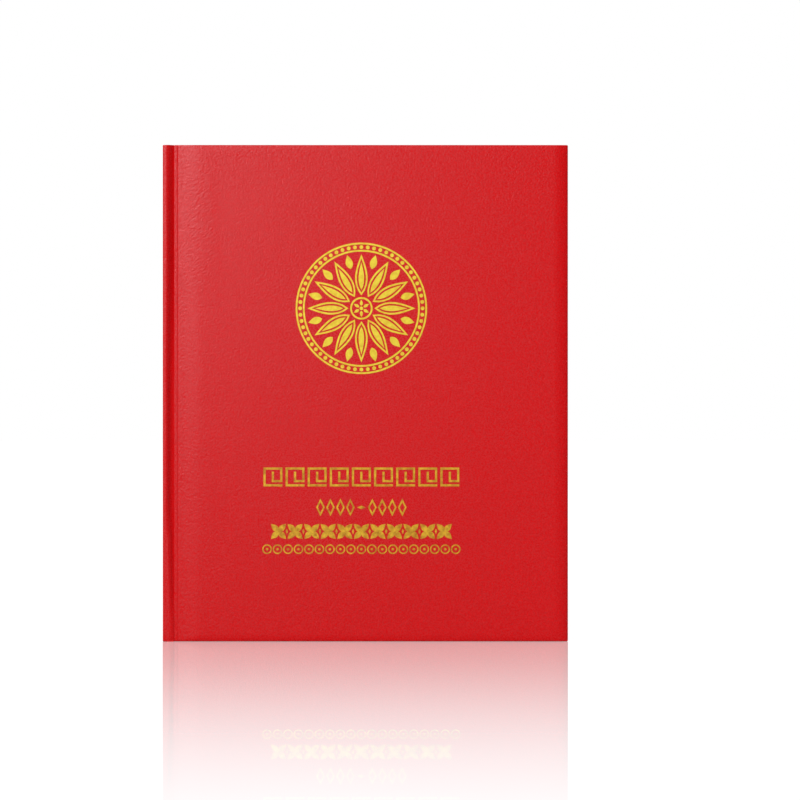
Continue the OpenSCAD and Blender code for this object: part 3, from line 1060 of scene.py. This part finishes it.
@dataclass
class Binding:
    """What holds the leaves: hinge cloths, linen hinges, strips, fillers and screw posts."""

    case: Case
    cloth_t: float = 0.25
    linen_t: float = 0.2
    # The cloth's margin past the bend, and the spacing of its points there and beyond
    bend_margin: float = 0.3
    bend_pitch: float = 0.1
    cloth_pitch: float = 1.2
    up_pitch: float = 6.0
    # A post's barrel and the clearance of the hole that is punched for it
    barrel_r: float = 2.5
    clearance: float = 0.1
    hole_points: int = 24
    fold_pitch: float = 0.3
    linen_pitch: float = 2.0
    linen_up_pitch: float = 8.0
    # A back leaf's linen is scored into its gap, so that it folds clear of the leaf before it:
    # how deep, and how far from the stub and from the card the slopes of the score reach
    score_depth: float = 0.4
    score_in: float = 1.5
    score_out: float = 0.7

    def build(self) -> None:
        """Makes the cloths and linens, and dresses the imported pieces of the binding."""
        for side in Side:
            self.build_hinge_cloth(side)
            dress_nodes(STRIP_LEATHERETTE, f"{side.word}_binding_strip")
        linens = sorted(solids("leaf_hinge_linens"), key=lambda box: box[0].y)
        for number, (low, high) in enumerate(linens, 1):
            self.build_linen(number, low, high)
        dress_nodes(HINGE_CLOTH, "block_spine_cloth")
        dress_nodes(FILLER_CARD, "leaf_stubs", "filler_strips")
        dress_nodes(POST_BRASS, "post_barrels", "post_screws")

    def build_hinge_cloth(self, side: Side) -> None:
        """Makes the cloth from the back of the block round onto the inside of a cover.

        Args:
            side: The side of the case.
        """
        case, t = self.case, self.cloth_t
        low, high = span(f"{side.word}_hinge_cloth")
        leg_x = low.x + t / 2
        leg_v = case.half_t - min(abs(low.y), abs(high.y))
        sheet_v = case.inside_v + t / 2
        leg = [(leg_x, leg_v), (leg_x, leg_v - 0.06)]
        leg += [(leg_x + t * (1 - math.cos(a)), sheet_v + t * (1 - math.sin(a)))
                for a in quarter_turn(4)]
        bend_end = case.hinge_x + self.bend_margin
        across = joined_stops(even_stops(leg_x + t, bend_end, self.bend_pitch),
                              even_stops(bend_end, high.x, self.cloth_pitch))[1:]
        line = np.array([(x, case.y(side, v)) for x, v in leg + [(x, sheet_v) for x in across]])
        piece = swept_sheet(f"{side.word}_hinge_cloth_strip", lambda z: line,
                            even_stops(low.z, high.z, self.up_pitch), -side.outwards)
        thicken(piece, t, centred=True)
        dress(piece, HINGE_CLOTH)
        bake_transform(piece, "binding", side.body, start=((low.x + t) * MM, 0, 0),
                 end=(case.hinge_x * MM, 0, 0))
        stand_for(piece, "backing_cloth", f"{side.word}_hinge_cloth")

    def build_linen(self, number: int, low: Vector, high: Vector) -> None:
        """Makes one leaf's linen hinge, punched for the posts and free to fold beside them.

        Args:
            number: The leaf's number, from the front.
            low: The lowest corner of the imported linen.
            high: Its highest corner.
        """
        leaf, y, r = f"leaf_{number:02d}", (low.y + high.y) / 2, self.barrel_r + self.clearance
        stub_end, leaf_x = span("leaf_stubs")[1].x, span(f"{leaf}_card")[0].x
        heights = even_stops(low.z, high.z, self.linen_up_pitch)
        across = joined_stops([stub_end - 1], even_stops(stub_end, leaf_x, self.fold_pitch),
                              even_stops(leaf_x, high.x, self.linen_pitch))
        # The part on the stub is flat and has a round hole for each post
        dots = [Vector((low.x, low.z)), Vector((low.x, high.z))]
        dots += [Vector((across[0], z)) for z in reversed(heights)]
        rings = [(k, (k + 1) % len(dots)) for k in range(len(dots))]
        holes = sorted((((a.x + b.x) / 2, (a.z + b.z) / 2) for a, b in solids("post_screws")),
                       key=lambda hole: hole[1])
        for x, z in holes:
            first, count = len(dots), self.hole_points
            dots += [Vector((x + r * math.cos(a), z + r * math.sin(a)))
                     for a in np.linspace(0, 2 * math.pi, count, endpoint=False)]
            rings += [(first + k, first + (k + 1) % count) for k in range(count)]
        flat, _, cells, *_ = geometry.delaunay_2d_cdt(dots, rings, [], 3, 1e-4)
        faces = [tuple(cell) for cell in cells
                 if all((sum(flat[k].x for k in cell) / 3 - x) ** 2
                        + (sum(flat[k].y for k in cell) / 3 - z) ** 2 > r * r for x, z in holes)]
        faces += grid_faces(len(heights), len(across), len(flat))
        score = self.score_depth if number > LEAVES / 2 else 0.0
        points = [(p.x, y, p.y) for p in flat]
        points += [(x, y + score * smooth_step(stub_end, stub_end + self.score_in, x)
                    * (1 - smooth_step(leaf_x - self.score_out, leaf_x, x)), z)
                   for z in heights for x in across]
        piece = mesh_piece(f"{leaf}_linen_hinge", points, faces)
        shape = bmesh.new()
        shape.from_mesh(piece.data)
        bmesh.ops.remove_doubles(shape, verts=shape.verts, dist=WELD)
        bmesh.ops.recalc_face_normals(shape, faces=shape.faces)
        if sum(face.normal.y for face in shape.faces) > 0:
            bmesh.ops.reverse_faces(shape, faces=shape.faces)
        shape.to_mesh(piece.data)
        shape.free()
        thicken(piece, self.linen_t, centred=True)
        dress(piece, LINEN_TAPE)
        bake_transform(piece, "binding", leaf, start=(stub_end * MM, 0, 0), end=(leaf_x * MM, 0, 0))
        stand_for(piece, "hinge_linen", "leaf_hinge_linens")


@dataclass
class PocketTree:
    """The node tree that makes every pocket of a leaf: backing, weld and clear film."""

    film_t: float = 0.12
    slit_t: float = 0.14
    weld_h: float = 1.5
    name: str = "stamp_pockets"
    # What each pocket's point carries, after its place
    attributes: tuple[str, ...] = ("pocket_width", "pocket_height", "outward")

    def tree(self) -> Tree:
        """Gives the tree, built once.

        It takes one point for the foot of each pocket, with the pocket's width, height and
        outward direction as attributes.

        Returns:
            The tree.
        """
        if self.name in bpy.data.node_groups:
            return bpy.data.node_groups[self.name]
        made = bpy.data.node_groups.new(self.name, "GeometryNodeTree")
        for kind, labels in (("Geometry", ("Feet",)), ("Material", ("Backing", "Film")),
                             ("Float", ("Film Thickness", "Slit Width", "Weld Height"))):
            for label in labels:
                made.interface.new_socket(label, in_out="INPUT",
                                          socket_type=f"NodeSocket{kind}")
        made.interface.new_socket("Pockets", in_out="OUTPUT", socket_type="NodeSocketGeometry")
        given = add(made, "NodeGroupInput").outputs
        width, height, outward = (
            add(made, "GeometryNodeInputNamedAttribute", {"Name": label},
                data_type="FLOAT").outputs["Attribute"] for label in self.attributes)
        film, slit, weld = given["Film Thickness"], given["Slit Width"], given["Weld Height"]
        past_slit = add(made, "ShaderNodeMath", {0: film, 1: slit}, operation="ADD").outputs[0]
        together = add(made, "GeometryNodeJoinGeometry")
        for tall, thickness, above, material in ((height, film, 0.0, given["Backing"]),
                                                 (weld, slit, film, given["Film"]),
                                                 (height, film, past_slit, given["Film"])):
            middle = add(made, "ShaderNodeMath", {0: thickness, 1: 0.5, 2: above},
                         operation="MULTIPLY_ADD")
            lift = add(made, "ShaderNodeCombineXYZ", {
                "Y": add(made, "ShaderNodeMath", {0: middle, 1: outward}, operation="MULTIPLY"),
                "Z": add(made, "ShaderNodeMath", {0: tall, 1: 0.5}, operation="MULTIPLY")})
            feet = add(made, "GeometryNodeSetPosition", {"Geometry": given["Feet"], "Offset": lift})
            size = add(made, "ShaderNodeCombineXYZ", {"X": width, "Y": thickness, "Z": tall})
            slab = add(made, "GeometryNodeMeshCube")
            copies = add(made, "GeometryNodeInstanceOnPoints",
                         {"Points": feet, "Instance": slab, "Scale": size})
            real = add(made, "GeometryNodeRealizeInstances", {0: copies})
            layer = add(made, "GeometryNodeSetMaterial", {"Geometry": real, "Material": material})
            made.links.new(layer.outputs[0], together.inputs[0])
        add(made, "NodeGroupOutput", {"Pockets": together})
        return made

    def piece(self, name: str, pockets: Sequence[tuple[Point, Point]]) -> Piece:
        """Makes the pockets of one leaf as a plain mesh.

        Args:
            name: The piece's name.
            pockets: For each pocket, the middle of its lower edge, on the card; and its width,
                its height and -1 or 1, the direction of Y away from the card.

        Returns:
            The piece.
        """
        seeds = mesh_piece(f"{name}_feet", [foot for foot, _ in pockets], [])
        for column, (label, scale) in enumerate(zip(self.attributes, (MM, MM, 1.0))):
            attribute = seeds.data.attributes.new(label, "FLOAT", "POINT")
            attribute.data.foreach_set("value", [shape[column] * scale for _, shape in pockets])
        modifier = seeds.modifiers.new("Pockets", "NODES")
        modifier.node_group = self.tree()
        values = {"Film Thickness": self.film_t * MM, "Slit Width": self.slit_t * MM,
                  "Weld Height": self.weld_h * MM, "Backing": BLACK_BACKING.material(),
                  "Film": CLEAR_FILM.material()}
        for item in modifier.node_group.interface.items_tree:
            if item.name in values:
                modifier[item.identifier] = values[item.name]
        ready = seeds.evaluated_get(bpy.context.evaluated_depsgraph_get())
        mesh = bpy.data.meshes.new_from_object(ready)
        mesh.name = name
        bpy.data.objects.remove(seeds)
        return placed(name, mesh)


@dataclass
class Leaf:
    """One leaf: a ruled card with pockets on both faces and a glassine interleaf."""

    number: int
    pockets: PocketTree
    rule_margin: float = 7.0

    def build(self) -> None:
        """Makes the leaf's pockets and dresses its card and its interleaf."""
        name = f"leaf_{self.number:02d}"
        low, high = span(f"{name}_card")
        pockets = []
        for a, b in solids(f"{name}_pockets"):
            way, card_y = (1.0, high.y) if a.y > (low.y + high.y) / 2 else (-1.0, low.y)
            pockets.append((((a.x + b.x) / 2, card_y, a.z), (b.x - a.x, b.z - a.z, way)))
        piece = self.pockets.piece(f"{name}_stamp_pockets", pockets)
        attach(piece, name)
        stand_for(piece, "pocket_film", f"{name}_pockets")
        dress_nodes(self.card_finish(low, high), f"{name}_card")
        dress_nodes(GLASSINE, f"{name}_interleaf")

    def card_finish(self, low: Vector, high: Vector) -> RuledCard:
        """Gives the card's finish, ruled between the linen hinge and the fore edge.

        Args:
            low: The card's lowest corner.
            high: Its highest corner.

        Returns:
            The finish.
        """
        margin = self.rule_margin
        linen_end = span("leaf_hinge_linens")[1].x
        return RuledCard("ivory_album_card", "#F0E8D3", "#E9DFC6", 0.7, ruled=(
            (linen_end + margin / 2, high.x - margin), (low.z + margin, high.z - margin)))


# ---- the studio ----

@dataclass(frozen=True)
class Softbox:
    """A square softbox that the camera doesn't see: its place, its width and its watts."""

    name: str
    place: Point
    size: float
    power: float
    colour: str = "#FBFAFF"

    def hang(self, target: Vector) -> None:
        """Hangs the softbox and turns it to a target.

        Args:
            target: The target, in metres.
        """
        light = bpy.data.lights.new(self.name, "AREA")
        light.shape, light.size, light.energy = "SQUARE", self.size * MM, self.power
        light.color = linear(self.colour)[:3]
        lamp = placed(self.name, light)
        lamp.location = Vector(self.place) * MM
        lamp.rotation_euler = (target - lamp.location).to_track_quat("-Z", "Y").to_euler()
        lamp.visible_camera = False


@dataclass
class Studio:
    """A glossy white floor in pale surroundings, with three softboxes.

    The key, low on the left, gives the sheen, the fill far off lights the album evenly, and the
    rear one lights its back. Behind the camera it is dark, so that the leatherette mirrors the
    softboxes alone.
    """

    case: Case
    camera_place: Point = (21.6, -1892.0, 150.8)
    lens: float = 135.0
    sensor: float = 36.0
    clip_end_m: float = 50.0
    lamps: tuple[Softbox, ...] = (
        Softbox("key", (-996.0, -4074.0, 962.0), 1225.0, 23.7),
        Softbox("fill", (-6930.0, -14860.0, 10400.0), 5120.0, 3060.0),
        Softbox("rear", (1200.0, 3000.0, 1300.0), 900.0, 26.0))
    surround: float = 0.85
    # The Y of the directions between which the surroundings go dark towards the camera
    dark_from: float = 0.6
    dark_to: float = -0.2
    floor_half: float = 9000.0
    floor_glow: float = 0.95
    mirror_reach: float = 1050.0
    mirror_strength: float = 1.05
    # What is left of the reflection behind the album, and how many times faster it fades
    # there and beside it
    mirror_behind: float = 0.5
    mirror_squeeze: float = 3.0
    # Red comes back a little more strongly, so that the reflection stays red as it fades
    mirror_red: float = 1.1
    # Along Y, in metres: where the floor is dark to the gloss of the cover, and where not
    floor_dark: tuple[float, float] = (-0.021, -0.015)

    def build(self) -> None:
        """Makes the camera, the lamps, the surroundings and the floor."""
        self.place_camera()
        for lamp in self.lamps:
            lamp.hang(Vector((0, -self.case.half_t, self.case.height / 2)) * MM)
        self.light_world()
        self.lay_floor()
        bpy.context.scene.view_settings.view_transform = "Standard"

    def place_camera(self) -> None:
        """Puts the camera level with the middle of the album, in front of it."""
        lens = bpy.data.cameras.new("camera")
        lens.lens, lens.sensor_width, lens.clip_end = self.lens, self.sensor, self.clip_end_m
        camera = placed("camera", lens)
        camera.location = Vector(self.camera_place) * MM
        camera.rotation_euler = (math.pi / 2, 0, 0)
        bpy.context.scene.camera = camera

    def light_world(self) -> None:
        """Sets the surroundings: white to the eye, softer as light, dark behind the camera."""
        world = bpy.data.worlds.new("studio")
        bpy.context.scene.world = world
        tree = cleared(world)
        rays = add(tree, "ShaderNodeLightPath").outputs
        way = add(tree, "ShaderNodeTexCoord").outputs["Generated"]
        axes = add(tree, "ShaderNodeSeparateXYZ", {0: way}).outputs
        behind = add(tree, "ShaderNodeMapRange",
                     {"Value": axes["Y"], "From Min": self.dark_from, "From Max": self.dark_to},
                     interpolation_type="SMOOTHSTEP")
        seen = add(tree, "ShaderNodeMath", {0: rays["Is Camera Ray"],
                                            1: rays["Is Transmission Ray"]}, operation="MAXIMUM")
        around = add(tree, "ShaderNodeMix", {0: rays["Is Glossy Ray"], 2: self.surround, 3: 1.0})
        other = add(tree, "ShaderNodeMix", {0: behind, 2: around, 3: 0.0})
        level = add(tree, "ShaderNodeMix", {0: seen, 2: other, 3: 1.0})
        back = add(tree, "ShaderNodeBackground", {"Color": linear("#FFFFFF"), "Strength": level})
        add(tree, "ShaderNodeOutputWorld", {"Surface": back})

    def lay_floor(self) -> None:
        """Lays the glossy floor, which mirrors the album near its foot and is white beyond."""
        half, case = self.floor_half, self.case
        floor = mesh_piece("studio_floor", [(-half, -half, 0), (half, -half, 0), (half, half, 0),
                                            (-half, half, 0)], [(0, 1, 2, 3)],
                           (0, Vector((0, 0, 1))))
        made = bpy.data.materials.new("glossy_white_acrylic")
        tree = cleared(made)
        rays = add(tree, "ShaderNodeLightPath").outputs
        place = add(tree, "ShaderNodeTexCoord").outputs["Object"]
        axes = add(tree, "ShaderNodeSeparateXYZ", {0: place}).outputs
        # To the eye the floor is white, with a share of its own light so that a shadow stays
        lit = add(tree, "ShaderNodeBsdfDiffuse", {"Color": linear("#6A6A6A")})
        glow = add(tree, "ShaderNodeEmission",
                   {"Color": linear("#FFFFFF"), "Strength": self.floor_glow})
        pale = add(tree, "ShaderNodeAddShader", {0: lit, 1: glow})
        mirror = add(tree, "ShaderNodeBsdfGlossy",
                     {"Color": (self.mirror_red, 1.0, 1.0, 1.0), "Roughness": 0.0})
        # Distance from the album's footprint, which counts for more beside it and behind it
        width = add(tree, "ShaderNodeMath", {0: axes["X"]}, operation="ABSOLUTE")
        past = []
        for axis, start, factor in ((width, case.fore_x, self.mirror_squeeze),
                                    (axes["Y"], case.half_t, self.mirror_squeeze),
                                    (axes["Y"], -case.half_t, -1.0)):
            over = add(tree, "ShaderNodeMath", {0: axis, 1: start * MM}, operation="SUBTRACT")
            scaled = add(tree, "ShaderNodeMath", {0: over, 1: factor}, operation="MULTIPLY")
            past.append(add(tree, "ShaderNodeMath", {0: scaled, 1: 0.0}, operation="MAXIMUM"))
        along = add(tree, "ShaderNodeMath", {0: past[1], 1: past[2]}, operation="MAXIMUM")
        line = add(tree, "ShaderNodeCombineXYZ", {0: past[0], 1: along})
        far = add(tree, "ShaderNodeVectorMath", {0: line}, operation="LENGTH").outputs["Value"]
        fade = add(tree, "ShaderNodeMapRange", {
            "Value": far, "From Min": 0.0, "From Max": self.mirror_reach * MM,
            "To Min": self.mirror_strength, "To Max": 0.0}, interpolation_type="SMOOTHSTEP")
        behind = add(tree, "ShaderNodeMapRange", {
            "Value": axes["Y"], "From Min": 0.0, "From Max": 4 * case.half_t * MM,
            "To Min": 1.0, "To Max": self.mirror_behind})
        share = add(tree, "ShaderNodeFresnel", {"IOR": 1.5})
        for factor in (fade, behind):
            share = add(tree, "ShaderNodeMath", {0: factor, 1: share}, operation="MULTIPLY")
        looks = add(tree, "ShaderNodeMixShader", {0: share, 1: pale, 2: mirror})
        # To the gloss of the album it is dark in front, and as a source of light it is white
        near = add(tree, "ShaderNodeMapRange", {
            "Value": axes["Y"], "From Min": self.floor_dark[0], "From Max": self.floor_dark[1]},
            interpolation_type="SMOOTHSTEP")
        dark = add(tree, "ShaderNodeBsdfDiffuse", {"Color": linear("#101010")})
        glossy = add(tree, "ShaderNodeMixShader", {0: near, 1: dark, 2: pale})
        white = add(tree, "ShaderNodeBsdfDiffuse", {"Color": linear("#E6E6E6")})
        other = add(tree, "ShaderNodeMixShader", {0: rays["Is Glossy Ray"], 1: white, 2: glossy})
        seen = add(tree, "ShaderNodeMath", {0: rays["Is Camera Ray"],
                                            1: rays["Is Transmission Ray"]}, operation="MAXIMUM")
        shown = add(tree, "ShaderNodeMixShader", {0: seen, 1: other, 2: looks})
        add(tree, "ShaderNodeOutputMaterial", {"Surface": shown})
        floor.data.materials.append(made)


def main() -> None:
    """Builds the studio and the album, piece by piece, and logs how many points each piece has."""
    logging.basicConfig(level=logging.INFO, format="%(name)s: %(message)s")
    case = Case.measured()
    Studio(case).build()
    for side in Side:
        PaddedCover(case, side).build()
    Spine(case).build()
    Binding(case).build()
    pockets = PocketTree()
    for number in range(1, LEAVES + 1):
        Leaf(number, pockets).build()
    dress_nodes(BRIGHT_FOIL, "medallion_foil")
    dress_nodes(OCHRE_FOIL, "title_band_foil")


if __name__ == "__main__":
    main()
